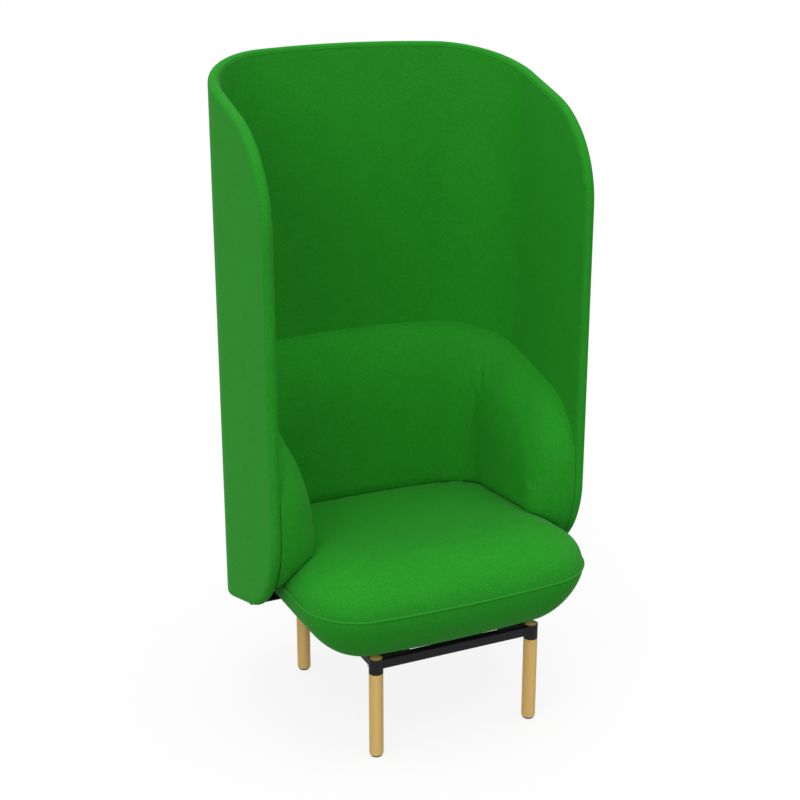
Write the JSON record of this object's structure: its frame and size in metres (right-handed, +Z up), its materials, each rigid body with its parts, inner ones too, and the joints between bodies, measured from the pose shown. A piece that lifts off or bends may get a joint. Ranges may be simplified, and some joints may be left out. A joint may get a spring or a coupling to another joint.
{
  "type": "lounge chair",
  "caption": "Lounge chair with a tall curved acoustic shell, padded seat, low back and arms in green fabric, on a black steel base with round wooden legs.",
  "frame": {"origin": "on the floor, in the middle of the chair's outer width and depth", "axes": "+X to the right as seen from the front of the chair, +Y from the front of the seat to the back of the shell, +Z up; the chair faces -Y"},
  "size_m": [0.77, 0.675, 1.4821],
  "materials": {
    "green_fabric": "fine felted wool",
    "welt_fabric": "fine felted wool over a cord",
    "leg_wood": "clear matte lacquer",
    "black_steel": "matte powder coat",
    "plywood": "raw plywood",
    "zinc_steel": "zinc plated",
    "glide_plastic": "matte",
    "cover_cloth": "thin woven cloth"
  },
  "bodies": {
    "root": {"arm_cushion_left": "green_fabric", "arm_cushion_right": "green_fabric", "back_cushion": "green_fabric", "board_screws": "zinc_steel", "bracket_bolts": "zinc_steel", "deck_bolts": "zinc_steel", "deck_tee_nuts": "zinc_steel", "dust_cover": "cover_cloth", "glide_front_left": "glide_plastic", "glide_front_right": "glide_plastic", "glide_nails": "zinc_steel", "glide_rear_left": "glide_plastic", "glide_rear_right": "glide_plastic", "leg_front_left": "leg_wood", "leg_front_right": "leg_wood", "leg_rear_left": "leg_wood", "leg_rear_right": "leg_wood", "leg_screws": "zinc_steel", "mount_plate_front_left": "black_steel", "mount_plate_front_right": "black_steel", "mount_plate_rear_left": "black_steel", "mount_plate_rear_right": "black_steel", "rail_front": "black_steel", "rail_left": "black_steel", "rail_rear": "black_steel", "rail_right": "black_steel", "seat_deck": "plywood", "seat_lower_cushion": "green_fabric", "seat_upper_cushion": "green_fabric", "seat_welt": "welt_fabric", "shell_bracket_left": "black_steel", "shell_bracket_rear": "black_steel", "shell_bracket_right": "black_steel", "shell_core": "plywood", "shell_inner_pad": "green_fabric", "shell_outer_pad": "green_fabric", "sleeve_front_left": "black_steel", "sleeve_front_right": "black_steel", "sleeve_rear_left": "black_steel", "sleeve_rear_right": "black_steel", "staples": "zinc_steel", "tub_board": "plywood"}
  },
  "joints": []
}
